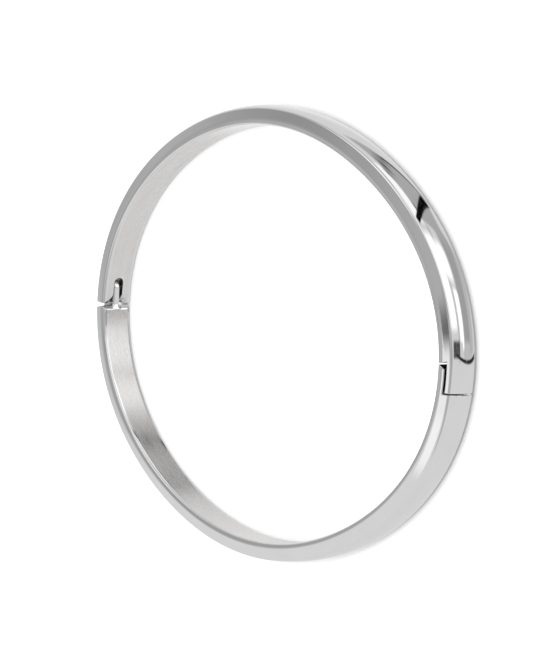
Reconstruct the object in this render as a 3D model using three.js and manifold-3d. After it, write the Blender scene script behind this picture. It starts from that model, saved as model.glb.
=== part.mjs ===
// Oval hinged bangle: two half bands, a pinned knuckle hinge at -X and a stepped snap clasp at +X.
// Millimetres. The bangle lies on one rim: +Z is the axis of the wrist opening, z = 0 is the lower rim.
import * as THREE from 'three';
import { mergeVertices } from 'three/addons/utils/BufferGeometryUtils.js';
import Module from 'manifold-3d';

// ---- Oval: the inner face of the closed bangle --------------------------------------------------
const SEMI_MAJOR = 32.22;
const SEMI_MINOR = 24.24;
// The pressed oval departs a little from an ellipse: waves around it, with their amplitudes.
const FOUR_LOBE = 0.142;
const SIX_LOBE = -0.039;
const EGG_X = 0.109;
const EGG_Y = 0.016;
// Shift that puts the middle of the bangle's box on the Z axis.
const CENTRE_X = -0.132;
const CENTRE_Y = 0.018;

// ---- Band section: u = outward from the inner face, w = across the width ------------------------
const HALF_WIDTH = 2.0;
const THICKNESS = 2.36;
const INNER_EDGE_FLAT = 0.45;
const INNER_EDGE_RISE = 0.27;
const SIDE_FLAT_TOP = 0.72;
const SHOULDER_U = 2.03;
const SHOULDER_W = 1.72;

// ---- Hinge --------------------------------------------------------------------------------------
const PIN_RADIUS = 0.5;
const PIN_FIT = 0.04;
const PIN_U = 1.2;
const PIN_Y = 1.2;
const PIN_FOOT = 0.04;
const PIN_TOP = 1.35;
const PIN_BLIND_GAP = 0.1;
const FORK_SLOT_HALF = 0.67;
const FORK_SLOT_TOP = 2.55;
const FORK_END_Y = -0.66;
// The fork's mouth widens below this height, less u, with the square of the distance.
const FLARE_TOP_Y = 0.6;
const FLARE_END_Y = -0.8;
const KNUCKLE_HALF = 0.5;
const KNUCKLE_RADIUS = 1.08;
const NECK_ROOT_Y = -2.16;
const NECK_OUTER_RELIEF = 0.3;
// The end face below the neck falls away outward, and its inner edge is chamfered.
const SHOULDER_Y = -0.86;
const SHOULDER_SLOPE = 0.207;
const END_CHAMFER_Y = -1.31;
const END_CHAMFER_SLOPE = 1.09;

// ---- Clasp --------------------------------------------------------------------------------------
const SEAM_Y = -2.0;
const SEAM_HALF_GAP = 0.07;
const LAP_UNDERSIDE = 1.4;
const TONGUE_THICKNESS = 1.1;
const TONGUE_TIP_Y = 1.13;
const TIP_THICKNESS = 0.35;
const TIP_CHAMFER_Y = 0.7;
// The lap's shoulder starts at this height on the inner face and rises outward.
const LAP_SHOULDER_Y = 1.22;
const LAP_SHOULDER_SLOPE = 0.25;

// ---- Catch: a stud on the tongue held between the prongs of a spring clip in the lap ------------
const STUD_Y = -0.75;
const STUD_RADIUS = 0.36;
const STUD_FOOT = 0.35;
const STUD_TOP = 1.92;
const STUD_CLEARANCE = 0.12;
const CLIP_POCKET_HALF = 0.95;
const CLIP_POCKET_ROOF = 2.0;
const CLIP_POCKET_MOUTH_Y = -1.45;
const CLIP_POCKET_END_Y = 1.05;
const CLIP_WIRE = 0.26;
const CLIP_HALF = 0.7;
const CLIP_BOTTOM = 1.5;
const CLIP_TOP = 1.94;
const CLIP_MOUTH_Y = -1.2;
const CLIP_BEND_Y = 0.2;
const CLIP_PIN_RADIUS = 0.3;
const CLIP_PIN_Y = 0.22;
const CLIP_PIN_TOP = 2.12;
const PRESS_GAP = 0.02;
const HOLE_SPARE = 0.05;

// ---- Mesh fineness ------------------------------------------------------------------------------
const BAND_STEPS = 60;
const LAP_STEPS = 6;
const ROUND_SIDES = 24;
const INNER_EDGE_STEPS = 3;
const DOME_STEPS = 3;
const FLARE_STEPS = 8;

// ---- Cutters: how far they reach past the faces they cut -----------------------------------------
const SPARE = 0.6;
const REACH = 3;

const wasm = await Module();
wasm.setup();

const steel = (colour, roughness) => (
  new THREE.MeshStandardMaterial({ color: colour, roughness, metalness: 1 })
);
const polishedSteel = steel(0xcfcfd2, 0.12);
const springSteel = steel(0xb4b4b8, 0.3);

/** A point on the inner face at the oval's angle, raised outward by u. */
function ovalPoint(angle, u = 0) {
  const c = Math.cos(angle);
  const s = Math.sin(angle);
  const normal = new THREE.Vector2(SEMI_MINOR * c, SEMI_MAJOR * s).normalize();
  const lobes = FOUR_LOBE * Math.cos(4 * angle) + SIX_LOBE * Math.cos(6 * angle);
  const egg = EGG_X * Math.cos(3 * angle) + EGG_Y * Math.sin(3 * angle);
  const out = u + lobes + egg;
  return new THREE.Vector3(
    SEMI_MAJOR * c + normal.x * out + CENTRE_X,
    SEMI_MINOR * s + normal.y * out + CENTRE_Y,
    HALF_WIDTH,
  );
}

/** The oval's angle at height y, near the hinge end (side -1) or the clasp end (side +1). */
function angleAtY(y, side) {
  const s = Math.asin(y / SEMI_MINOR);
  return side > 0 ? s : Math.PI - s;
}

/** The stretch of the inner oval between two angles, as a path for the band's section. */
class OvalPath extends THREE.Curve {
  constructor(from, to) {
    super();
    this.from = from;
    this.to = to;
  }

  getPoint(t, target = new THREE.Vector3()) {
    return target.copy(ovalPoint(this.from + (this.to - this.from) * t));
  }
}

/** Turns a closed three.js geometry into a manifold solid. */
function solid(geometry) {
  const plain = geometry.clone();
  plain.deleteAttribute('normal');
  plain.deleteAttribute('uv');
  const merged = mergeVertices(plain, 1e-5);
  const vertProperties = Float32Array.from(merged.attributes.position.array);
  const triVerts = Uint32Array.from(merged.index.array);
  return new wasm.Manifold(new wasm.Mesh({ numProp: 3, vertProperties, triVerts }));
}

/** Turns a manifold solid into a named mesh. */
function namedMesh(name, body, material) {
  const result = body.getMesh();
  const geometry = new THREE.BufferGeometry();
  geometry.setAttribute('position', new THREE.BufferAttribute(result.vertProperties, 3));
  geometry.setIndex(new THREE.BufferAttribute(result.triVerts, 1));
  geometry.computeVertexNormals();
  const mesh = new THREE.Mesh(geometry, material);
  mesh.name = name;
  return mesh;
}

/** Carries an outline of [u, w] points along the oval from one angle to another. */
function sweep(outline, from, to, steps) {
  const shape = new THREE.Shape(outline.map(([u, w]) => new THREE.Vector2(-w, -u)));
  const extrudePath = new OvalPath(from, to);
  return solid(new THREE.ExtrudeGeometry(shape, { steps, extrudePath, bevelEnabled: false }));
}

/** A block between two corners. */
function block(low, high) {
  const size = high.map((value, i) => value - low[i]);
  const geometry = new THREE.BoxGeometry(...size);
  return solid(geometry.translate(...low.map((value, i) => value + size[i] / 2)));
}

/** A flat plate cut to an outline in X and Y, between two heights. */
function plate(points, bottom, top) {
  const shape = new THREE.Shape(points);
  const geometry = new THREE.ExtrudeGeometry(shape, { depth: top - bottom, bevelEnabled: false });
  return solid(geometry.translate(0, 0, bottom));
}

/** A round bar along Z. */
function barAlongZ(radius, x, y, bottom, top) {
  const geometry = new THREE.CylinderGeometry(radius, radius, top - bottom, ROUND_SIDES);
  return solid(geometry.rotateX(Math.PI / 2).translate(x, y, (bottom + top) / 2));
}

/** A round bar along X. */
function barAlongX(radius, y, z, from, to) {
  const geometry = new THREE.CylinderGeometry(radius, radius, to - from, ROUND_SIDES);
  return solid(geometry.rotateZ(Math.PI / 2).translate((from + to) / 2, y, z));
}

// ---- Sections -----------------------------------------------------------------------------------
const innerFlat = HALF_WIDTH - INNER_EDGE_FLAT;

/** The right half of the section, from the middle of the inner face out to the crown. */
function sectionHalf() {
  const points = [[0, innerFlat]];
  for (let i = 1; i < INNER_EDGE_STEPS; i += 1) {
    const angle = (i / INNER_EDGE_STEPS) * (Math.PI / 2);
    points.push([
      INNER_EDGE_RISE * (1 - Math.cos(angle)),
      innerFlat + INNER_EDGE_FLAT * Math.sin(angle),
    ]);
  }
  points.push([INNER_EDGE_RISE, HALF_WIDTH], [SIDE_FLAT_TOP, HALF_WIDTH]);
  points.push([SHOULDER_U, SHOULDER_W]);
  for (let i = DOME_STEPS - 1; i > 0; i -= 1) {
    const share = i / DOME_STEPS;
    const drop = (THICKNESS - SHOULDER_U) * share * share;
    points.push([THICKNESS - drop, SHOULDER_W * share]);
  }
  return points;
}

const half = sectionHalf();
const mirrored = half.map(([u, w]) => [u, -w]).reverse();
const section = [...half, [THICKNESS, 0], ...mirrored];
const wide = HALF_WIDTH + REACH;
const slab = (low, high) => [[low, -wide], [high, -wide], [high, wide], [low, wide]];

// ---- Places on the hinge and the clasp ----------------------------------------------------------
const hingeInnerX = ovalPoint(Math.PI).x;
const claspInnerX = ovalPoint(0).x;
const pinX = hingeInnerX - PIN_U;
const mid = HALF_WIDTH;
const below = -REACH;
const above = 2 * HALF_WIDTH + REACH;

/** Everything between two heights y at one end of the oval. */
const endBlock = (innerX, from, to) => (
  block([innerX - REACH, from, below], [innerX + REACH, to, above])
);

/** A round knuckle about the pin with a neck that runs down into the band. */
function knuckleOutline() {
  const outline = new THREE.Shape();
  outline.moveTo(pinX + KNUCKLE_RADIUS, NECK_ROOT_Y);
  outline.lineTo(pinX + KNUCKLE_RADIUS, PIN_Y);
  outline.absarc(pinX, PIN_Y, KNUCKLE_RADIUS, 0, Math.PI, false);
  outline.lineTo(pinX - KNUCKLE_RADIUS + NECK_OUTER_RELIEF, NECK_ROOT_Y);
  return outline.getPoints(ROUND_SIDES / 2);
}

/** The cutter that flares the fork's mouth: a prism across the fork's inner corner. */
function forkFlare() {
  const upper = [];
  for (let i = 0; i <= FLARE_STEPS; i += 1) {
    const y = FLARE_TOP_Y + (FLARE_END_Y - FLARE_TOP_Y) * (i / FLARE_STEPS);
    upper.push(new THREE.Vector2(y * Math.SQRT1_2, FORK_SLOT_HALF + (FLARE_TOP_Y - y) ** 2));
  }
  const lower = upper.map((point) => new THREE.Vector2(point.x, -point.y)).reverse();
  const shape = new THREE.Shape([...upper, ...lower]);
  const geometry = new THREE.ExtrudeGeometry(shape, { depth: 2 * REACH, bevelEnabled: false });
  geometry.translate(0, 0, -REACH);
  // The outline's first axis points up and outward at 45 degrees, its second is Z.
  const h = Math.SQRT1_2;
  const turn = new THREE.Matrix4().set(-h, 0, h, hingeInnerX, h, 0, h, 0, 0, 1, 0, mid, 0, 0, 0, 1);
  return solid(geometry.applyMatrix4(turn));
}

/** The room for the tongue under the lap, up to the lap's sloping shoulder. */
function lapRoom() {
  const rise = LAP_SHOULDER_SLOPE * REACH;
  const from = angleAtY(SEAM_Y - REACH, 1);
  const room = sweep(slab(-REACH, LAP_UNDERSIDE), from, angleAtY(REACH, 1), LAP_STEPS);
  return room.subtract(plate([
    new THREE.Vector2(claspInnerX - REACH, LAP_SHOULDER_Y - rise),
    new THREE.Vector2(claspInnerX + REACH, LAP_SHOULDER_Y + rise),
    new THREE.Vector2(claspInnerX + REACH, 2 * REACH),
    new THREE.Vector2(claspInnerX - REACH, 2 * REACH),
  ], below, above));
}

/** The room above the end face of the knuckle's band, seen along Z. */
function shoulderRoom() {
  const cornerU = (SHOULDER_Y - END_CHAMFER_Y) / (END_CHAMFER_SLOPE + SHOULDER_SLOPE);
  const outerU = THICKNESS + REACH;
  return plate([
    new THREE.Vector2(hingeInnerX + REACH, END_CHAMFER_Y - END_CHAMFER_SLOPE * REACH),
    new THREE.Vector2(hingeInnerX + REACH, REACH),
    new THREE.Vector2(hingeInnerX - outerU, REACH),
    new THREE.Vector2(hingeInnerX - outerU, SHOULDER_Y - SHOULDER_SLOPE * outerU),
    new THREE.Vector2(hingeInnerX - cornerU, SHOULDER_Y - SHOULDER_SLOPE * cornerU),
  ], below, above);
}

// ---- Half band with the fork and the outer lap --------------------------------------------------
function forkBand() {
  const start = angleAtY(SEAM_Y - SPARE, 1);
  const end = angleAtY(FORK_END_Y - SPARE, -1);
  let body = sweep(section, start, end, BAND_STEPS);
  body = body.subtract(endBlock(claspInnerX, SEAM_Y - REACH, SEAM_Y + SEAM_HALF_GAP));
  body = body.subtract(endBlock(hingeInnerX, FORK_END_Y - REACH, FORK_END_Y));

  body = body.subtract(lapRoom());

  const slotRoundY = FORK_SLOT_TOP - FORK_SLOT_HALF;
  const slotFrom = pinX - REACH;
  const slotTo = hingeInnerX + REACH;
  body = body.subtract(block(
    [slotFrom, FORK_END_Y - REACH, mid - FORK_SLOT_HALF],
    [slotTo, slotRoundY, mid + FORK_SLOT_HALF],
  ));
  body = body.subtract(barAlongX(FORK_SLOT_HALF, slotRoundY, mid, slotFrom, slotTo));
  body = body.subtract(forkFlare());
  body = body.subtract(barAlongZ(
    PIN_RADIUS + PRESS_GAP, pinX, PIN_Y, below, mid + PIN_TOP + PIN_BLIND_GAP,
  ));

  const pocketFrom = claspInnerX + LAP_UNDERSIDE - SPARE;
  const roof = claspInnerX + CLIP_POCKET_ROOF;
  body = body.subtract(block(
    [pocketFrom, CLIP_POCKET_MOUTH_Y, mid - CLIP_POCKET_HALF],
    [roof, CLIP_POCKET_END_Y, mid + CLIP_POCKET_HALF],
  ));
  const wayInHalf = STUD_RADIUS + STUD_CLEARANCE;
  body = body.subtract(block(
    [pocketFrom, SEAM_Y - REACH, mid - wayInHalf],
    [roof, 0, mid + wayInHalf],
  ));
  const pinHoleEnd = claspInnerX + CLIP_PIN_TOP + HOLE_SPARE;
  return body.subtract(barAlongX(
    CLIP_PIN_RADIUS + PRESS_GAP, CLIP_PIN_Y, mid, pocketFrom, pinHoleEnd,
  ));
}

// ---- Half band with the knuckle and the tongue --------------------------------------------------
function tongueBand() {
  const start = angleAtY(SHOULDER_Y + SPARE, -1);
  const end = 2 * Math.PI + angleAtY(SEAM_Y + SPARE, 1);
  let body = sweep(section, start, end, BAND_STEPS);
  body = body.subtract(endBlock(claspInnerX, SEAM_Y - SEAM_HALF_GAP, REACH));
  body = body.subtract(shoulderRoom());

  const root = angleAtY(SEAM_Y - SPARE, 1);
  let tongue = sweep(section, root, angleAtY(TONGUE_TIP_Y, 1), LAP_STEPS);
  const stepStart = angleAtY(SEAM_Y - SEAM_HALF_GAP, 1);
  const stepEnd = angleAtY(TONGUE_TIP_Y + SPARE, 1);
  tongue = tongue.subtract(sweep(slab(TONGUE_THICKNESS, wide), stepStart, stepEnd, LAP_STEPS));
  const run = (TONGUE_TIP_Y - TIP_CHAMFER_Y) / (TONGUE_THICKNESS - TIP_THICKNESS);
  tongue = tongue.subtract(plate([
    new THREE.Vector2(claspInnerX + TIP_THICKNESS, TONGUE_TIP_Y),
    new THREE.Vector2(claspInnerX + TONGUE_THICKNESS + REACH, TIP_CHAMFER_Y - run * REACH),
    new THREE.Vector2(claspInnerX + TONGUE_THICKNESS + REACH, TONGUE_TIP_Y + REACH),
    new THREE.Vector2(claspInnerX + TIP_THICKNESS, TONGUE_TIP_Y + REACH),
  ], below, above));
  body = body.add(tongue);
  body = body.add(plate(knuckleOutline(), mid - KNUCKLE_HALF, mid + KNUCKLE_HALF));
  body = body.subtract(barAlongZ(PIN_RADIUS + PIN_FIT, pinX, PIN_Y, 0, 2 * mid));
  return body.subtract(barAlongX(
    STUD_RADIUS + PRESS_GAP, STUD_Y, mid, claspInnerX + STUD_FOOT - HOLE_SPARE, claspInnerX + REACH,
  ));
}

// ---- Small parts --------------------------------------------------------------------------------
/** The pin is pressed in from the lower rim and ground flush with it. */
function hingePin() {
  const from = angleAtY(PIN_Y + KNUCKLE_RADIUS, -1);
  const to = angleAtY(PIN_Y - KNUCKLE_RADIUS, -1);
  const envelope = sweep(section, from, to, LAP_STEPS);
  return barAlongZ(PIN_RADIUS, pinX, PIN_Y, PIN_FOOT, mid + PIN_TOP).intersect(envelope);
}

/** A U of flat spring strip: two prongs joined by a round bend behind the clip pin. */
function springClip() {
  const outline = new THREE.Shape();
  const inner = CLIP_HALF - CLIP_WIRE;
  outline.moveTo(CLIP_MOUTH_Y, -CLIP_HALF);
  outline.lineTo(CLIP_BEND_Y, -CLIP_HALF);
  outline.absarc(CLIP_BEND_Y, 0, CLIP_HALF, -Math.PI / 2, Math.PI / 2, false);
  outline.lineTo(CLIP_MOUTH_Y, CLIP_HALF);
  outline.lineTo(CLIP_MOUTH_Y, inner);
  outline.lineTo(CLIP_BEND_Y, inner);
  outline.absarc(CLIP_BEND_Y, 0, inner, Math.PI / 2, -Math.PI / 2, true);
  outline.lineTo(CLIP_MOUTH_Y, -inner);
  const depth = CLIP_TOP - CLIP_BOTTOM;
  const curveSegments = ROUND_SIDES / 2;
  const geometry = new THREE.ExtrudeGeometry(outline, { depth, bevelEnabled: false, curveSegments });
  // The outline's first axis becomes Y, its second Z, and the strip's depth X.
  geometry.applyMatrix4(new THREE.Matrix4().set(0, 0, 1, 0, 1, 0, 0, 0, 0, 1, 0, 0, 0, 0, 0, 1));
  return solid(geometry.translate(claspInnerX + CLIP_BOTTOM, 0, mid));
}

const catchStud = barAlongX(
  STUD_RADIUS, STUD_Y, mid, claspInnerX + STUD_FOOT, claspInnerX + STUD_TOP,
);
const clipPin = barAlongX(
  CLIP_PIN_RADIUS, CLIP_PIN_Y, mid, claspInnerX + CLIP_BOTTOM, claspInnerX + CLIP_PIN_TOP,
);

const bangle = new THREE.Group();
bangle.name = 'bangle';
bangle.add(
  namedMesh('fork_band', forkBand(), polishedSteel),
  namedMesh('tongue_band', tongueBand(), polishedSteel),
  namedMesh('hinge_pin', hingePin(), polishedSteel),
  namedMesh('catch_stud', catchStud, polishedSteel),
  namedMesh('spring_clip', springClip(), springSteel),
  namedMesh('clip_pin', clipPin, springSteel),
);

export default bangle;
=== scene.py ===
"""Oval hinged steel bangle: fine meshes of its six parts, their materials, and a plain pale studio."""

import math
from itertools import product

import bpy
import numpy as np
from mathutils import Matrix, Vector


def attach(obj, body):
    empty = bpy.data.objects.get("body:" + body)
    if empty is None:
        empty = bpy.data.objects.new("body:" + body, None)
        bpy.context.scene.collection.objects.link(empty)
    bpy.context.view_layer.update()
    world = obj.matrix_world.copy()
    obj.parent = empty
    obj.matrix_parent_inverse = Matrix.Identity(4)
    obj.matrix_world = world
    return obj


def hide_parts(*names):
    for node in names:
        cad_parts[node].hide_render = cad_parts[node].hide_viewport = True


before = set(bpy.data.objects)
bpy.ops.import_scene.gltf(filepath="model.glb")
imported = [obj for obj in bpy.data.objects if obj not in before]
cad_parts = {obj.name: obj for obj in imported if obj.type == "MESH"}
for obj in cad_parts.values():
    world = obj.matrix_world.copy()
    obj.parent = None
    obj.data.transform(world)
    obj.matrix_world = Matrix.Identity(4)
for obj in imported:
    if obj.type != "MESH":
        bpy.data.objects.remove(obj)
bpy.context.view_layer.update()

MM = 0.001

# ---- Oval: the inner face of the closed bangle, in millimetres -----------------------------------
SEMI_MAJOR = 32.22
SEMI_MINOR = 24.24
FOUR_LOBE = 0.142
SIX_LOBE = -0.039
EGG_X = 0.109
EGG_Y = 0.016
CENTRE_X = -0.132
CENTRE_Y = 0.018
OVAL_POINTS = 24001
OVAL_OVERLAP = 0.6  # radians that the curve runs past a full turn, at each end

# ---- Band section: u = outward from the inner face, w = across the width --------------------------
HALF_WIDTH = 2.0
THICKNESS = 2.36
INNER_EDGE_FLAT = 0.45
INNER_EDGE_RISE = 0.27
SIDE_FLAT_TOP = 0.72
SHOULDER_U = 2.03
SHOULDER_W = 1.72
SIDE_BEND = 0.06
CREASE_ROUND = 0.16
EDGE_ROUND = 0.09
CUT_DEPTH = 0.03  # a face this far inside the section is a milled one, rougher and darkened as painted shade

# ---- Hinge ----------------------------------------------------------------------------------------
PIN_RADIUS = 0.5
PIN_FIT = 0.04
PIN_U = 1.2
PIN_Y = 1.2
PIN_TOP = 1.35
PIN_BLIND_GAP = 0.1
PIN_INSET = 0.01
PIN_EDGE_ROUND = 0.04
PIN_TOP_ROUND = 0.08
FORK_SLOT_HALF = 0.67
FORK_SLOT_TOP = 2.55
FORK_SLOT_EDGE = 0.05
FORK_END_Y = -0.66
FLARE_TOP_Y = 0.6
KNUCKLE_HALF = 0.5
KNUCKLE_RADIUS = 1.08
KNUCKLE_ROUND = 0.34
KNUCKLE_HOLE_EDGE = 0.04
NECK_FILLET = 0.35
SHOULDER_Y = -0.86
SHOULDER_SLOPE = 0.207
END_CHAMFER_Y = -1.31
END_CHAMFER_SLOPE = 1.09
END_CHAMFER_ROUND = 0.12

# ---- Clasp ----------------------------------------------------------------------------------------
SEAM_Y = -2.0
SEAM_HALF_GAP = 0.07
LAP_UNDERSIDE = 1.4
LAP_SHOULDER_Y = 1.22
LAP_SHOULDER_SLOPE = 0.25
LAP_EDGE = 0.07
TONGUE_THICKNESS = 1.1
TONGUE_TIP_Y = 1.13
TIP_THICKNESS = 0.35
TIP_CHAMFER_Y = 0.7
TIP_ROUND = 0.06
TONGUE_FILLET = 0.08

# ---- Catch ----------------------------------------------------------------------------------------
STUD_Y = -0.75
STUD_RADIUS = 0.36
STUD_CLEARANCE = 0.12
STUD_WAIST = 0.06
STUD_WAIST_U = 1.66
STUD_WAIST_SPREAD = 0.16
STUD_TOP_ROUND = 0.12
STUD_FOOT = 0.35
STUD_TOP = 1.92
CLIP_POCKET_HALF = 0.95
CLIP_POCKET_ROOF = 2.0
CLIP_POCKET_MOUTH_Y = -1.45
CLIP_POCKET_END_Y = 1.05
CLIP_POCKET_EDGE = 0.04
CLIP_WIRE = 0.26
CLIP_HALF = 0.7
CLIP_BOTTOM = 1.5
CLIP_TOP = 1.94
CLIP_MOUTH_Y = -1.2
CLIP_BEND_Y = 0.2
CLIP_MOUTH_ROUND = 0.1
CLIP_EDGE_ROUND = 0.04
CLIP_PIN_RADIUS = 0.3
CLIP_PIN_Y = 0.22
CLIP_PIN_TOP = 2.12
PRESS_GAP = 0.02
HOLE_SPARE = 0.05
HOLE_EDGE = 0.02
SMALL_PART_ROUND = 0.05

# ---- Mesh: grid sizes, in millimetres -------------------------------------------------------------
FINE = 0.05
COARSE = 0.6
SMALL_PART_GRID = 0.035
WIDTH_POINTS = 85
WIDTH_MARGIN = 0.1
DEPTH_MARGIN = 0.12
END_MARGIN = 0.3
SMALL_PART_END_MARGIN = 0.15
CLASP_FINE = 4.2  # the length of the fine stretch at the clasp end of both bands
FORK_HINGE_FINE = 3.9
TONGUE_HINGE_FINE = 4.5
PIN_GRID_HALF = 0.6
GROWTH = 1.25
SLOPE_STEP = 1e-3
SNAP_ROUNDS = 5
SNAP_LIMIT = 0.6  # the longest move in one round, as a share of the finest grid step
SMALLEST_SLOPE = 1e-6
SMALLEST_MOVE = 1e-9
FLAT_DEPTH = 0.004  # a face this near the inner flat, and this square to it, is brushed
FLAT_COSINE = 0.999
UV_PER_MM = 0.1

# ---- Camera: the photograph's view ----------------------------------------------------------------
CAMERA_YAW = math.radians(52.64)
CAMERA_PITCH = math.radians(1.60)
CAMERA_ROLL = math.radians(-8.86)
CAMERA_DISTANCE = 414.4
CAMERA_LENS = 195.1
IMAGE_LONG_SIDE = 650
SHIFT_RIGHT = 1.7
SHIFT_UP = 8.4

# ---- Studio, in metres and watts ------------------------------------------------------------------
VIEW_DEPTH = 10
FLOOR_HALF = 3.0
FLOOR_GREY = 0.93
FLOOR_ROUGHNESS = 0.9
LAMP_SIZE = 1.6
LAMP_HEIGHT = 1.2
LAMP_POWER = 20
GROUND_TONE = 211
CEILING_TONE = 172
CEILING_FADE = (0, 35)  # heights in degrees


class Oval:
    """The inner oval by arc length s: place() turns (s, u) into x and y."""

    def __init__(self):
        self.angle = np.linspace(-OVAL_OVERLAP, 2 * math.pi + OVAL_OVERLAP, OVAL_POINTS)
        c, s = np.cos(self.angle), np.sin(self.angle)
        nx, ny = SEMI_MINOR * c, SEMI_MAJOR * s
        length = np.hypot(nx, ny)
        out = FOUR_LOBE * np.cos(4 * self.angle) + SIX_LOBE * np.cos(6 * self.angle)
        out += EGG_X * np.cos(3 * self.angle) + EGG_Y * np.sin(3 * self.angle)
        self.x = SEMI_MAJOR * c + nx / length * out + CENTRE_X
        self.y = SEMI_MINOR * s + ny / length * out + CENTRE_Y
        dx, dy = np.gradient(self.x), np.gradient(self.y)
        step = np.hypot(dx, dy)
        self.tx, self.ty = dx / step, dy / step
        self.s = np.concatenate([[0], np.cumsum(np.hypot(np.diff(self.x), np.diff(self.y)))])

    def at(self, values, s):
        return np.interp(s, self.s, values)

    def place(self, s, u):
        tx, ty = self.at(self.tx, s), self.at(self.ty, s)
        return self.at(self.x, s) + ty * u, self.at(self.y, s) - tx * u

    def s_at(self, y, side, turn=0):
        """Arc length at height y near the clasp (side +1) or the hinge (side -1)."""
        angle = math.asin(y / SEMI_MINOR)
        angle = angle if side > 0 else math.pi - angle
        return float(np.interp(angle + turn * 2 * math.pi, self.angle, self.s))


oval = Oval()
hinge_x = float(np.interp(math.pi, oval.angle, oval.x))
pin_x = hinge_x - PIN_U


# ---- Implicit shapes: negative inside, in millimetres ---------------------------------------------
class Place:
    """A set of points, as (s, u, w) along the band and as x, y in the row frame."""

    def __init__(self, points):
        self.s, self.u, self.w = points[..., 0], points[..., 1], points[..., 2]
        self.x, self.y = oval.place(self.s, self.u)


def both(a, b, radius):
    """Where two shapes meet inside one another, with a round edge."""
    corner = np.hypot(np.maximum(a + radius, 0), np.maximum(b + radius, 0))
    return np.minimum(np.maximum(a, b), -radius) + corner


def either(a, b, radius):
    """Two shapes joined with a fillet."""
    return -both(-a, -b, radius)


def bent(a, b, width):
    """Where two nearly parallel faces meet inside one another, with a long soft bend."""
    overlap = np.maximum(width - np.abs(a - b), 0) / width
    return np.maximum(a, b) + overlap**2 * width / 4


def without(a, b, radius):
    """The first shape with the second cut out, with a round edge."""
    return both(a, -b, radius)


def section(p):
    """The band's section: flat inside, flat sides that lean in, and a shallow dome."""
    w = np.abs(p.w)
    lean = np.array([HALF_WIDTH - SHOULDER_W, SHOULDER_U - SIDE_FLAT_TOP])
    lean = lean / np.hypot(*lean)
    side = bent(w - HALF_WIDTH, (p.u - SIDE_FLAT_TOP) * lean[0] + (w - HALF_WIDTH) * lean[1], SIDE_BEND)
    drop = THICKNESS - SHOULDER_U
    dome_radius = (SHOULDER_W**2 + drop**2) / (2 * drop)
    dome = np.hypot(p.u - THICKNESS + dome_radius, w) - dome_radius
    inner = -p.u * INNER_EDGE_FLAT / INNER_EDGE_RISE
    return both(both(side, dome, CREASE_ROUND), inner, INNER_EDGE_FLAT)


def at_clasp(p, shape):
    """A cutter that only exists at the clasp end."""
    return np.maximum(shape, -p.x)


def at_hinge(p, shape):
    """A cutter that only exists at the hinge end."""
    return np.maximum(shape, p.x)


def fork_band(p):
    end = np.where(p.x < 0, FORK_END_Y, SEAM_Y + SEAM_HALF_GAP)
    body = both(section(p), end - p.y, EDGE_ROUND)
    lap_shoulder = p.y - LAP_SHOULDER_Y - LAP_SHOULDER_SLOPE * p.u
    body = without(body, at_clasp(p, np.maximum(p.u - LAP_UNDERSIDE, lap_shoulder)), LAP_EDGE)
    half = FORK_SLOT_HALF + np.maximum(FLARE_TOP_Y - p.y - p.u, 0) ** 2
    round_y = FORK_SLOT_TOP - FORK_SLOT_HALF
    slot = np.where(p.y < round_y, np.abs(p.w) - half, np.hypot(p.w, p.y - round_y) - FORK_SLOT_HALF)
    body = without(body, at_hinge(p, slot), FORK_SLOT_EDGE)
    bore = np.hypot(p.x - pin_x, p.y - PIN_Y) - PIN_RADIUS - PRESS_GAP
    body = without(body, np.maximum(bore, p.w - PIN_TOP - PIN_BLIND_GAP), HOLE_EDGE)
    pocket = np.maximum(np.abs(p.w) - CLIP_POCKET_HALF, p.u - CLIP_POCKET_ROOF)
    pocket = np.maximum(pocket, np.maximum(CLIP_POCKET_MOUTH_Y - p.y, p.y - CLIP_POCKET_END_Y))
    way_in = np.maximum(np.abs(p.w) - STUD_RADIUS - STUD_CLEARANCE, np.maximum(p.u - CLIP_POCKET_ROOF, p.y))
    pin_hole = np.hypot(p.y - CLIP_PIN_Y, p.w) - CLIP_PIN_RADIUS - PRESS_GAP
    pin_hole = np.maximum(pin_hole, p.u - CLIP_PIN_TOP - HOLE_SPARE)
    return without(body, at_clasp(p, np.minimum(np.minimum(pocket, way_in), pin_hole)), CLIP_POCKET_EDGE)


def tongue_band(p):
    shoulder = p.y - SHOULDER_Y + SHOULDER_SLOPE * p.u
    chamfer = (p.y - END_CHAMFER_Y - END_CHAMFER_SLOPE * p.u) / math.hypot(1, END_CHAMFER_SLOPE)
    shoulder = both(shoulder, chamfer, END_CHAMFER_ROUND)
    reach = np.where(p.y < PIN_Y, np.abs(p.x - pin_x), np.hypot(p.x - pin_x, p.y - PIN_Y))
    neck = both(np.abs(p.w) - KNUCKLE_HALF, reach - KNUCKLE_RADIUS, KNUCKLE_ROUND)
    hinge_end = either(shoulder, neck, NECK_FILLET)
    thick = np.maximum(p.u - TONGUE_THICKNESS, p.y - TONGUE_TIP_Y)
    run = (TONGUE_TIP_Y - TIP_CHAMFER_Y) / (TONGUE_THICKNESS - TIP_THICKNESS)
    slant = (p.y - TONGUE_TIP_Y + run * (p.u - TIP_THICKNESS)) / math.hypot(1, run)
    tongue = both(thick, slant, TIP_ROUND)
    clasp_end = either(p.y - SEAM_Y + SEAM_HALF_GAP, tongue, TONGUE_FILLET)
    body = both(section(p), np.where(p.x < 0, hinge_end, clasp_end), EDGE_ROUND)
    bore = np.hypot(p.x - pin_x, p.y - PIN_Y) - PIN_RADIUS - PIN_FIT
    body = without(body, bore, KNUCKLE_HOLE_EDGE)
    hole = np.hypot(p.y - STUD_Y, p.w) - STUD_RADIUS - PRESS_GAP
    hole = np.maximum(hole, STUD_FOOT - HOLE_SPARE - p.u)
    return without(body, at_clasp(p, hole), HOLE_EDGE)


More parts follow.
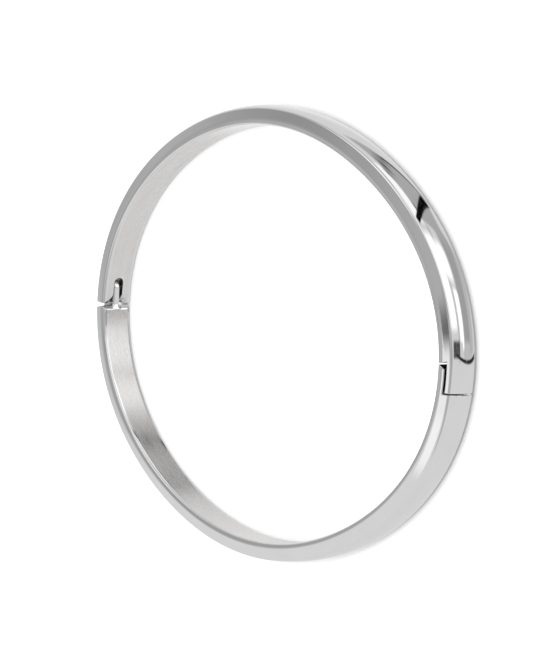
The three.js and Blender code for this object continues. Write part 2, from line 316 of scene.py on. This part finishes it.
def hinge_pin(p):
    bar = np.hypot(p.x - pin_x, p.y - PIN_Y) - PIN_RADIUS
    return both(both(bar, section(p) + PIN_INSET, PIN_EDGE_ROUND), p.w - PIN_TOP, PIN_TOP_ROUND)


def catch_stud(p):
    waist = STUD_WAIST * np.exp(-(((p.u - STUD_WAIST_U) / STUD_WAIST_SPREAD) ** 2))
    bar = np.hypot(p.y - STUD_Y, p.w) - STUD_RADIUS + waist
    return both(both(bar, p.u - STUD_TOP, STUD_TOP_ROUND), STUD_FOOT - p.u, SMALL_PART_ROUND)


def spring_clip(p):
    middle = CLIP_HALF - CLIP_WIRE / 2
    across = np.where(p.y < CLIP_BEND_Y, np.abs(p.w), np.hypot(p.w, p.y - CLIP_BEND_Y))
    strip = np.abs(across - middle) - CLIP_WIRE / 2
    strip = both(strip, CLIP_MOUTH_Y - p.y, CLIP_MOUTH_ROUND)
    return both(strip, np.maximum(p.u - CLIP_TOP, CLIP_BOTTOM - p.u), CLIP_EDGE_ROUND)


def clip_pin(p):
    bar = np.hypot(p.y - CLIP_PIN_Y, p.w) - CLIP_PIN_RADIUS
    return both(both(bar, p.u - CLIP_PIN_TOP, SMALL_PART_ROUND), CLIP_BOTTOM - p.u, SMALL_PART_ROUND)


# ---- Meshing --------------------------------------------------------------------------------------
def graded(low, high, fine_low, fine_high, fine, coarse):
    """Steps from low to high: fine near both ends, then growing to coarse in the middle."""
    size = fine
    left = [fine] * int(math.ceil(fine_low / fine))
    right = [fine] * int(math.ceil(fine_high / fine))
    room = high - low - sum(left) - sum(right)
    grow = []
    while size < coarse and 2 * (sum(grow) + size) < room:
        size = min(size * GROWTH, coarse)
        grow.append(size)
    rest = room - 2 * sum(grow)
    count = max(int(round(rest / coarse)), 1)
    sizes = left + grow + [rest / count] * count + grow[::-1] + right
    return low + np.concatenate([[0], np.cumsum(sizes)])


def band_normals(shape, points):
    """The shape's value and its gradient along the band, outward and across, by small steps."""
    value = shape(Place(points))
    slopes = []
    for axis in range(3):
        shift = np.zeros(3)
        shift[axis] = SLOPE_STEP
        ahead, behind = Place(points + shift), Place(points - shift)
        run = 2 * SLOPE_STEP
        if axis == 0:
            run = np.hypot(ahead.x - behind.x, ahead.y - behind.y)
        slopes.append((shape(ahead) - shape(behind)) / run)
    return value, np.stack(slopes, -1)


def surface_net(shape, axes):
    """Points and quads of the shape's surface on a grid, with the points moved onto the surface."""
    grid = np.stack(np.meshgrid(*axes, indexing="ij"), -1)
    field = shape(Place(grid))
    inside = field < 0
    n = np.array(field.shape) - 1
    corners = np.array(list(product((0, 1), repeat=3)))
    filled = sum(inside[i : n[0] + i, j : n[1] + j, k : n[2] + k].astype(int) for i, j, k in corners)
    active = (filled > 0) & (filled < 8)
    cells = np.argwhere(active)
    index = np.full(active.shape, -1)
    index[active] = np.arange(len(cells))

    total, hits = np.zeros((len(cells), 3)), np.zeros((len(cells), 1))
    for a, b in product(corners, corners):
        if (b - a).sum() != 1 or (b - a).min() < 0:
            continue
        ia, ib = tuple((cells + a).T), tuple((cells + b).T)
        fa, fb = field[ia], field[ib]
        cross = (fa < 0) != (fb < 0)
        t = np.where(cross, fa / np.where(cross, fa - fb, 1), 0)[:, None]
        total += cross[:, None] * (grid[ia] * (1 - t) + grid[ib] * t)
        hits += cross[:, None]
    points = total / hits

    limit = SNAP_LIMIT * min(np.diff(axis).min() for axis in axes)
    for _ in range(SNAP_ROUNDS):
        value, slope = band_normals(shape, points)
        size = (slope**2).sum(-1, keepdims=True)
        move = -value[:, None] * slope / np.maximum(size, SMALLEST_SLOPE)
        length = np.maximum(np.linalg.norm(move, axis=-1, keepdims=True), SMALLEST_MOVE)
        points = points + move * np.minimum(1, limit / length)

    quads = []
    for axis in range(3):
        others = [a for a in range(3) if a != axis]
        here = np.take(inside, np.arange(n[axis]), axis)
        there = np.take(inside, np.arange(1, n[axis] + 1), axis)
        edges = np.argwhere(here != there)
        keep = (edges[:, others] > 0).all(1) & (edges[:, others] < n[others]).all(1)
        edges = edges[keep]
        ring = []
        for da, db in ((1, 1), (0, 1), (0, 0), (1, 0)):
            cell = edges.copy()
            cell[:, others[0]] -= da
            cell[:, others[1]] -= db
            ring.append(index[tuple(cell.T)])
        ring = np.stack(ring, -1)
        leaving = here[tuple(edges.T)]
        flip = ~leaving if axis == 1 else leaving
        ring[flip] = ring[flip][:, ::-1]
        quads.append(ring)
    return points, np.concatenate(quads)


def milled_and_shaded(p, shape):
    """Faces in a cut: rougher, with painted shade. The pin's hole in the lower cheek and the knuckle keep
    the polish.
    """
    cut = (section(p) < -CUT_DEPTH) & (p.w > -FORK_SLOT_HALF - CUT_DEPTH)
    if shape is tongue_band:
        cut &= (np.abs(p.w) > KNUCKLE_HALF + CUT_DEPTH) | (p.x > 0)
    return cut


def make_piece(name, shape, axes, body, node, materials, brushed=False):
    """Meshes a shape, carries it round the oval, and hands it to the frame."""
    points, quads = surface_net(shape, axes)
    slope = band_normals(shape, points)[1]
    p = Place(points)
    tx, ty = oval.at(oval.tx, p.s), oval.at(oval.ty, p.s)
    along, out, across = slope.T
    normals = np.stack([along * tx + out * ty, along * ty - out * tx, across], -1)
    normals /= np.linalg.norm(normals, axis=-1, keepdims=True)
    verts = np.stack([p.x, p.y, p.w + HALF_WIDTH], -1) * MM

    mesh = bpy.data.meshes.new(name)
    mesh.from_pydata(verts.tolist(), [], quads.tolist())
    for material in materials:
        mesh.materials.append(material)
    mesh.polygons.foreach_set("use_smooth", [True] * len(quads))
    if brushed:
        flat = (points[:, 1] < FLAT_DEPTH) & (np.abs(out) > FLAT_COSINE * np.linalg.norm(slope, axis=-1))
        mesh.polygons.foreach_set("material_index", flat[quads].all(1).astype(np.int32))
    # Faces in the cuts: the polished steel makes them rougher and darkens them to half as painted shade.
    machined_and_shaded = mesh.attributes.new("machined_and_shaded", "FLOAT", "POINT")
    machined_and_shaded.data.foreach_set("value", milled_and_shaded(p, shape).astype(np.float32))
    band = mesh.attributes.new("band", "FLOAT_VECTOR", "POINT")
    band.data.foreach_set("vector", points.astype(np.float32).ravel())
    layer = mesh.uv_layers.new(name="band_map")
    layer.data.foreach_set("uv", (points[quads.ravel()][:, [0, 2]] * UV_PER_MM).astype(np.float32).ravel())
    mesh.update()
    mesh.normals_split_custom_set_from_vertices(normals.tolist())

    piece = bpy.data.objects.new(name, mesh)
    bpy.context.scene.collection.objects.link(piece)
    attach(piece, body)
    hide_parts(node)
    return piece


# ---- Materials ------------------------------------------------------------------------------------
class Finish:
    """A steel finish, built from marks that follow the band: s along it, u outward, w across, in mm."""

    def __init__(self, name, colour, anisotropy=0.0, turn=0.0):
        self.material = bpy.data.materials.new(name)
        self.material.use_nodes = True
        self.nodes, self.links = self.material.node_tree.nodes, self.material.node_tree.links
        self.shader = self.nodes["Principled BSDF"]
        self.shader.inputs["Metallic"].default_value = 1.0
        self.shader.inputs["Anisotropic"].default_value = anisotropy
        self.shader.inputs["Anisotropic Rotation"].default_value = turn
        self.colour = colour
        self.band = self.nodes.new("ShaderNodeAttribute")
        self.band.attribute_name = "band"

    def marks(self, stretch, detail=3.0, roll=0.0):
        """Noise from 0 to 1, with `stretch` cells per mm along each of the band's directions."""
        mapping = self.nodes.new("ShaderNodeMapping")
        mapping.inputs["Scale"].default_value = stretch
        mapping.inputs["Rotation"].default_value = (0, roll, 0)
        self.links.new(self.band.outputs["Vector"], mapping.inputs["Vector"])
        noise = self.nodes.new("ShaderNodeTexNoise")
        noise.inputs["Scale"].default_value = 1.0
        noise.inputs["Detail"].default_value = detail
        self.links.new(mapping.outputs["Vector"], noise.inputs["Vector"])
        return noise.outputs["Fac"]

    def ranged(self, value, source, target):
        """The value carried from one range to another, and held inside it."""
        node = self.nodes.new("ShaderNodeMapRange")
        for name, number in zip(("From Min", "From Max", "To Min", "To Max"), source + target):
            node.inputs[name].default_value = number
        self.links.new(value, node.inputs["Value"])
        return node.outputs["Result"]

    def mix(self, a, b, operation="ADD"):
        node = self.nodes.new("ShaderNodeMath")
        node.operation = operation
        self.links.new(a, node.inputs[0])
        self.links.new(b, node.inputs[1])
        return node.outputs[0]

    def tint(self, amount):
        """The steel's colour times a brightness."""
        node = self.nodes.new("ShaderNodeVectorMath")
        node.operation = "SCALE"
        node.inputs[0].default_value = self.colour
        self.links.new(amount, node.inputs["Scale"])
        self.links.new(node.outputs["Vector"], self.shader.inputs["Base Color"])

    def rough(self, value):
        self.links.new(value, self.shader.inputs["Roughness"])

    def bump(self, height, depth):
        """Relief from a height of 0 to 1, with its depth in millimetres."""
        node = self.nodes.new("ShaderNodeBump")
        node.inputs["Strength"].default_value = 1.0
        node.inputs["Distance"].default_value = depth * MM
        self.links.new(height, node.inputs["Height"])
        self.links.new(node.outputs["Normal"], self.shader.inputs["Normal"])


UNIT = (0, 1)
MIDDLE = (0.3, 0.7)  # where most of a noise's values lie
WIDE_MIDDLE = (0.25, 0.75)
HAIR_PEAKS = (0.68, 0.74)  # only the highest values leave a hairline or a nick
NICK_PEAKS = (0.73, 0.78)


def polished_steel():
    """Mirror polish with buffing lines, hairlines, nicks and haze; cut faces rougher and darkened as
    painted shade.
    """
    finish = Finish("polished_steel", colour=(0.865, 0.865, 0.87))
    haze = finish.marks(stretch=(0.25, 0.5, 0.5), detail=2.0)
    lines = finish.marks(stretch=(0.35, 14.0, 14.0))
    hairs = finish.marks(stretch=(0.9, 30.0, 30.0), detail=2.0, roll=0.06)
    nicks = finish.marks(stretch=(9.0, 9.0, 1.4), detail=2.0, roll=0.5)
    hairs, nicks = finish.ranged(hairs, HAIR_PEAKS, UNIT), finish.ranged(nicks, NICK_PEAKS, UNIT)
    scratches = finish.mix(hairs, nicks, "MAXIMUM")
    # Faces in the cuts: made rougher, and darkened to half as painted shade in the recesses.
    cut = finish.nodes.new("ShaderNodeAttribute")
    cut.attribute_name = "machined_and_shaded"
    cut = cut.outputs["Fac"]

    tone = finish.ranged(haze, MIDDLE, (0.985, 1.015))
    tone = finish.mix(tone, finish.ranged(scratches, UNIT, (0, -0.05)))
    # Painted shade: faces in the cuts at half brightness.
    finish.tint(finish.mix(tone, finish.ranged(cut, UNIT, (1, 0.5)), "MULTIPLY"))
    rough = finish.mix(finish.ranged(haze, MIDDLE, (0.015, 0.04)), finish.ranged(lines, MIDDLE, (0, 0.02)))
    rough = finish.mix(rough, finish.ranged(cut, UNIT, (0, 0.22)))
    finish.rough(finish.mix(rough, finish.ranged(scratches, UNIT, (0, 0.14))))
    relief = finish.mix(finish.ranged(lines, UNIT, (0, 1)), finish.ranged(scratches, UNIT, (0, -1.5)))
    finish.bump(relief, depth=0.0004)
    return finish.material


def brushed_steel():
    """A satin inner face: long brush strokes round the band, with broader lighter and darker passes."""
    finish = Finish("brushed_steel", colour=(0.86, 0.847, 0.836), anisotropy=0.55, turn=0.25)
    tangent = finish.nodes.new("ShaderNodeTangent")
    tangent.direction_type = "UV_MAP"
    tangent.uv_map = "band_map"
    finish.links.new(tangent.outputs["Tangent"], finish.shader.inputs["Tangent"])
    passes = finish.marks(stretch=(0.16, 1.2, 1.2))
    strokes = finish.marks(stretch=(0.5, 16.0, 16.0), detail=4.0)
    fine = finish.marks(stretch=(3.0, 40.0, 40.0), detail=2.0)

    tone = finish.ranged(strokes, WIDE_MIDDLE, (-0.06, 0.05))
    tone = finish.mix(finish.ranged(passes, MIDDLE, (0.95, 1.03)), tone)
    finish.tint(finish.mix(tone, finish.ranged(fine, MIDDLE, (-0.03, 0.03))))
    rough = finish.ranged(passes, MIDDLE, (0.19, 0.27))
    finish.rough(finish.mix(rough, finish.ranged(strokes, MIDDLE, (0, 0.08))))
    relief = finish.mix(finish.ranged(strokes, UNIT, (0, 1)), finish.ranged(fine, UNIT, (0, 0.4)))
    finish.bump(relief, depth=0.006)
    return finish.material


def pin_steel():
    """Drawn pin wire, faced off at the ends and a little duller than the band."""
    finish = Finish("pin_steel", colour=(0.74, 0.74, 0.75))
    drawn = finish.marks(stretch=(10.0, 10.0, 0.8))
    spots = finish.marks(stretch=(4.0, 4.0, 4.0), detail=2.0)
    tone = finish.ranged(spots, MIDDLE, (0.95, 1.03))
    finish.tint(finish.mix(tone, finish.ranged(drawn, MIDDLE, (-0.04, 0.04))))
    finish.rough(finish.ranged(drawn, MIDDLE, (0.14, 0.28)))
    finish.bump(drawn, depth=0.002)
    return finish.material


def spring_steel():
    """Rolled spring strip, darker and slightly straw-coloured from hardening."""
    finish = Finish("spring_steel", colour=(0.60, 0.585, 0.56))
    rolled = finish.marks(stretch=(1.2, 12.0, 12.0))
    heat = finish.marks(stretch=(0.8, 0.8, 0.8), detail=2.0)
    tone = finish.ranged(heat, MIDDLE, (0.88, 1.06))
    finish.tint(finish.mix(tone, finish.ranged(rolled, MIDDLE, (-0.05, 0.05))))
    finish.rough(finish.ranged(rolled, MIDDLE, (0.24, 0.4)))
    finish.bump(rolled, depth=0.003)
    return finish.material


polished, brushed_face = polished_steel(), brushed_steel()
turned, sprung = pin_steel(), spring_steel()

# ---- Pieces ---------------------------------------------------------------------------------------
u_axis = np.arange(-DEPTH_MARGIN, THICKNESS + DEPTH_MARGIN + FINE, FINE)
w_axis = np.linspace(-HALF_WIDTH - WIDTH_MARGIN, HALF_WIDTH + WIDTH_MARGIN, WIDTH_POINTS)

fork_axis = graded(
    oval.s_at(SEAM_Y - END_MARGIN, 1), oval.s_at(FORK_END_Y - END_MARGIN, -1),
    CLASP_FINE, FORK_HINGE_FINE, FINE, COARSE,
)
make_piece(
    "fork_half_band", fork_band, (fork_axis, u_axis, w_axis),
    "fork_half", "fork_band", [polished, brushed_face], brushed=True,
)
tongue_axis = graded(
    oval.s_at(PIN_Y + KNUCKLE_RADIUS + END_MARGIN, -1), oval.s_at(TONGUE_TIP_Y + END_MARGIN, 1, turn=1),
    TONGUE_HINGE_FINE, CLASP_FINE, FINE, COARSE,
)
make_piece(
    "tongue_half_band", tongue_band, (tongue_axis, u_axis, w_axis),
    "tongue_half", "tongue_band", [polished, brushed_face], brushed=True,
)


def small_axes(y_low, y_high, side, u_low, u_high, w_low, w_high):
    """A fine grid round a small part at one end of the oval."""
    ends = sorted([oval.s_at(y_low, side), oval.s_at(y_high, side)])
    return (
        np.arange(ends[0] - SMALL_PART_END_MARGIN, ends[1] + SMALL_PART_END_MARGIN, SMALL_PART_GRID),
        np.arange(u_low - WIDTH_MARGIN, u_high + WIDTH_MARGIN, SMALL_PART_GRID),
        np.arange(w_low - WIDTH_MARGIN, w_high + WIDTH_MARGIN, SMALL_PART_GRID),
    )


make_piece(
    "flush_hinge_pin", hinge_pin,
    small_axes(
        PIN_Y - PIN_RADIUS, PIN_Y + PIN_RADIUS, -1,
        PIN_U - PIN_GRID_HALF, PIN_U + PIN_GRID_HALF, -HALF_WIDTH, PIN_TOP,
    ),
    "fork_half", "hinge_pin", [turned],
)
make_piece(
    "snap_stud", catch_stud,
    small_axes(
        STUD_Y - STUD_RADIUS, STUD_Y + STUD_RADIUS, 1,
        STUD_FOOT, STUD_TOP, -STUD_RADIUS, STUD_RADIUS,
    ),
    "tongue_half", "catch_stud", [turned],
)
make_piece(
    "snap_spring", spring_clip,
    small_axes(CLIP_MOUTH_Y, CLIP_BEND_Y + CLIP_HALF, 1, CLIP_BOTTOM, CLIP_TOP, -CLIP_HALF, CLIP_HALF),
    "fork_half", "spring_clip", [sprung],
)
make_piece(
    "snap_spring_pin", clip_pin,
    small_axes(
        CLIP_PIN_Y - CLIP_PIN_RADIUS, CLIP_PIN_Y + CLIP_PIN_RADIUS, 1,
        CLIP_BOTTOM, CLIP_PIN_TOP, -CLIP_PIN_RADIUS, CLIP_PIN_RADIUS,
    ),
    "fork_half", "clip_pin", [turned],
)


# ---- Camera, floor and light ----------------------------------------------------------------------
def photo_camera():
    cy, sy = math.cos(CAMERA_YAW), math.sin(CAMERA_YAW)
    cp, sp = math.cos(CAMERA_PITCH), math.sin(CAMERA_PITCH)
    cr, sr = math.cos(CAMERA_ROLL), math.sin(CAMERA_ROLL)
    turn = Matrix(((cp, -sp, 0), (sp, cp, 0), (0, 0, 1)))
    turn = turn @ Matrix(((cy, 0, -sy), (0, 1, 0), (sy, 0, cy)))
    turn = turn @ Matrix(((cr, -sr, 0), (sr, cr, 0), (0, 0, 1)))
    data = bpy.data.cameras.new("camera")
    data.lens = CAMERA_LENS
    data.shift_x = SHIFT_RIGHT / IMAGE_LONG_SIDE
    data.shift_y = SHIFT_UP / IMAGE_LONG_SIDE
    data.clip_end = VIEW_DEPTH
    camera = bpy.data.objects.new("camera", data)
    bpy.context.scene.collection.objects.link(camera)
    target = Vector((CENTRE_X, CENTRE_Y, HALF_WIDTH)) * MM
    place = Matrix.Translation(target + turn[2] * CAMERA_DISTANCE * MM)
    camera.matrix_world = place @ turn.transposed().to_4x4()
    bpy.context.scene.camera = camera


def floor():
    mesh = bpy.data.meshes.new("floor")
    corners = [(x * FLOOR_HALF, y * FLOOR_HALF, 0) for x, y in ((-1, -1), (1, -1), (1, 1), (-1, 1))]
    mesh.from_pydata(corners, [], [(0, 1, 2, 3)])
    material = bpy.data.materials.new("floor")
    material.use_nodes = True
    shader = material.node_tree.nodes["Principled BSDF"]
    shader.inputs["Base Color"].default_value = (FLOOR_GREY, FLOOR_GREY, FLOOR_GREY, 1)
    shader.inputs["Roughness"].default_value = FLOOR_ROUGHNESS
    mesh.materials.append(material)
    plane = bpy.data.objects.new("floor", mesh)
    bpy.context.scene.collection.objects.link(plane)
    return plane


class Surroundings:
    """The studio's brightness in every direction, built up from soft-edged patches by math nodes.

    Azimuth is measured from +X towards +Y and height from the horizon, both in degrees.
    Tones are display values, as the polished steel shows them; 255 is white, and lamps may pass it."""

    STEEL = 0.9

    def __init__(self, tree, tone):
        self.nodes, self.links = tree.nodes, tree.links
        self.direction = self.nodes.new("ShaderNodeTexCoord").outputs["Generated"]
        split = self.nodes.new("ShaderNodeSeparateXYZ")
        self.links.new(self.direction, split.inputs[0])
        x, y, z = split.outputs
        self.azimuth = self.math("DEGREES", self.math("ARCTAN2", y, x))
        self.height = self.math("DEGREES", self.math("ARCSINE", z))
        self.level = self.linear(tone)

    def linear(self, tone):
        """The light behind a display tone, by the sRGB curve, before the steel takes its share."""
        return ((tone / 255 + 0.055) / 1.055) ** 2.4 / self.STEEL

    def math(self, operation, *values):
        node = self.nodes.new("ShaderNodeMath")
        node.operation = operation
        for socket, value in zip(node.inputs, values):
            if isinstance(value, (int, float)):
                socket.default_value = value
            else:
                self.links.new(value, socket)
        return node.outputs[0]

    def step(self, value, low, high):
        """0 below low, 1 above high and a smooth rise between; the other way round if low is higher."""
        node = self.nodes.new("ShaderNodeMapRange")
        node.interpolation_type = "SMOOTHSTEP"
        self.links.new(value, node.inputs["Value"])
        node.inputs["From Min"].default_value = low
        node.inputs["From Max"].default_value = high
        return node.outputs["Result"]

    def angle_to(self, azimuth, height):
        """The angle in degrees between the direction and a fixed one."""
        a, h = math.radians(azimuth), math.radians(height)
        node = self.nodes.new("ShaderNodeVectorMath")
        node.operation = "DOT_PRODUCT"
        self.links.new(self.direction, node.inputs[0])
        toward = (math.cos(a) * math.cos(h), math.sin(a) * math.cos(h), math.sin(h))
        node.inputs[1].default_value = toward
        return self.math("DEGREES", self.math("ARCCOSINE", node.outputs["Value"]))

    def paint(self, mask, tone):
        """Turns the brightness to a tone where the mask is 1."""
        change = self.math("SUBTRACT", self.linear(tone), self.level)
        self.level = self.math("MULTIPLY_ADD", mask, change, self.level)

    def band(self, value, low, high, soft):
        """1 from low to high, with soft ends."""
        rise, fall = self.step(value, low - soft, low + soft), self.step(value, high + soft, high - soft)
        return self.math("MULTIPLY", rise, fall)

    def panel(self, tone, azimuths, heights, soft):
        """A box of azimuths and heights."""
        wide = self.band(self.azimuth, *azimuths, soft)
        self.paint(self.math("MULTIPLY", wide, self.band(self.height, *heights, soft)), tone)

    def disc(self, tone, azimuth, height, radius, soft):
        """A round patch."""
        self.paint(self.step(self.angle_to(azimuth, height), radius + soft, radius - soft), tone)

    def rim(self, tone, azimuth, height, radius, half_width, soft, azimuths, heights, end_soft):
        """A stretch of the edge of a round patch, kept between azimuths and heights."""
        edge = self.math("ABSOLUTE", self.math("SUBTRACT", self.angle_to(azimuth, height), radius))
        mask = self.step(edge, half_width + soft, max(half_width - soft, 0))
        wide = self.band(self.azimuth, *azimuths, end_soft)
        kept = self.math("MULTIPLY", wide, self.band(self.height, *heights, end_soft))
        self.paint(self.math("MULTIPLY", mask, kept), tone)


def mirrored_patches(sky):
    """The patches that the steel mirrors towards the photograph's view.

    Their places and tones were read off the reflections in the photograph, and hold for that view only.
    Without this call the studio is plain and the bangle an even grey. A later patch covers earlier ones."""
    # Above the horizon.
    sky.panel(213, azimuths=(-163, -60), heights=(8, 72), soft=4)
    sky.disc(139, azimuth=166, height=38, radius=8, soft=16)
    sky.disc(168, azimuth=179, height=15, radius=10, soft=7)
    sky.disc(154, azimuth=-168, height=34, radius=5, soft=4)
    sky.disc(183, azimuth=-176, height=42, radius=4, soft=3)
    sky.disc(245, azimuth=-149, height=58, radius=5, soft=2)
    sky.disc(75, azimuth=-177, height=66, radius=3, soft=2.5)
    sky.disc(95, azimuth=160, height=74, radius=5, soft=3)
    sky.disc(236, azimuth=-163, height=61, radius=5, soft=1.5)
    sky.disc(85, azimuth=-171.8, height=43, radius=1, soft=0.9)
    sky.disc(206, azimuth=-169.9, height=43.3, radius=0.8, soft=0.6)
    sky.panel(253, azimuths=(112, 153), heights=(37, 58), soft=3)
    sky.panel(252, azimuths=(20, 97), heights=(16, 36), soft=4)
    sky.disc(118, azimuth=4, height=34, radius=6, soft=5)
    sky.disc(145, azimuth=38, height=57, radius=6, soft=6)
    # Below the horizon, on the clasp side: a grey wall with lit windows over it.
    sky.panel(158, azimuths=(2, 98), heights=(-64, -38), soft=5)
    sky.panel(168, azimuths=(80, 123), heights=(-54, -21), soft=2)
    sky.panel(180, azimuths=(2, 110), heights=(-74, -62), soft=6)
    sky.panel(275, azimuths=(20, 72), heights=(-20, -2), soft=4)
    sky.panel(253, azimuths=(78, 106), heights=(-20, -2), soft=1.5)
    sky.panel(182, azimuths=(0, 78), heights=(-25, -21), soft=2)
    sky.panel(285, azimuths=(8, 44), heights=(-38, -27), soft=3)
    sky.panel(275, azimuths=(50, 70), heights=(-37, -20), soft=5)
    sky.disc(108, azimuth=87, height=-22.5, radius=1.5, soft=2.5)
    sky.panel(208, azimuths=(0, 13), heights=(-34, -24), soft=2)
    sky.panel(190, azimuths=(0, 13), heights=(-60, -40), soft=3)
    sky.panel(80, azimuths=(3, 13), heights=(-24, -4), soft=1.5)
    # Dark edges of the panels.
    sky.disc(85, azimuth=116, height=-33, radius=2, soft=3)
    sky.disc(85, azimuth=109, height=-27, radius=3, soft=3)
    sky.disc(105, azimuth=103, height=-21, radius=2, soft=3)
    sky.rim(
        35, azimuth=-159, height=12.5, radius=90, half_width=1.3, soft=0.7,
        azimuths=(112, 132), heights=(-56, -36), end_soft=1.5,
    )
    sky.rim(
        10, azimuth=144.9, height=13.4, radius=69.8, half_width=1.7, soft=0.4,
        azimuths=(77, 124), heights=(-56, -9), end_soft=1.5,
    )
    sky.rim(
        35, azimuth=83.1, height=-14.3, radius=75.6, half_width=1.0, soft=0.6,
        azimuths=(-14, 12), heights=(-80, -14), end_soft=3,
    )
    # The hinge side is a little brighter, with a grey patch in it.
    sky.disc(228, azimuth=165, height=-38, radius=12, soft=12)
    sky.disc(250, azimuth=-158, height=-31, radius=9, soft=7)
    sky.disc(158, azimuth=172, height=-56, radius=5, soft=6)


def studio():
    world = bpy.data.worlds.new("studio")
    bpy.context.scene.world = world
    world.use_nodes = True
    sky = Surroundings(world.node_tree, GROUND_TONE)
    sky.paint(sky.step(sky.height, *CEILING_FADE), CEILING_TONE)
    mirrored_patches(sky)
    background = world.node_tree.nodes["Background"]
    sky.links.new(sky.level, background.inputs["Color"])


def floor_light():
    """A big soft lamp overhead that lights the floor and doesn't show in the steel."""
    data = bpy.data.lights.new("floor_light", "AREA")
    data.shape = "DISK"
    data.size = LAMP_SIZE
    data.energy = LAMP_POWER
    lamp = bpy.data.objects.new("floor_light", data)
    lamp.location = (0, 0, LAMP_HEIGHT)
    lamp.visible_glossy = False
    bpy.context.scene.collection.objects.link(lamp)


photo_camera()
floor().visible_glossy = False
studio()
floor_light()
bpy.context.scene.view_settings.view_transform = "Standard"
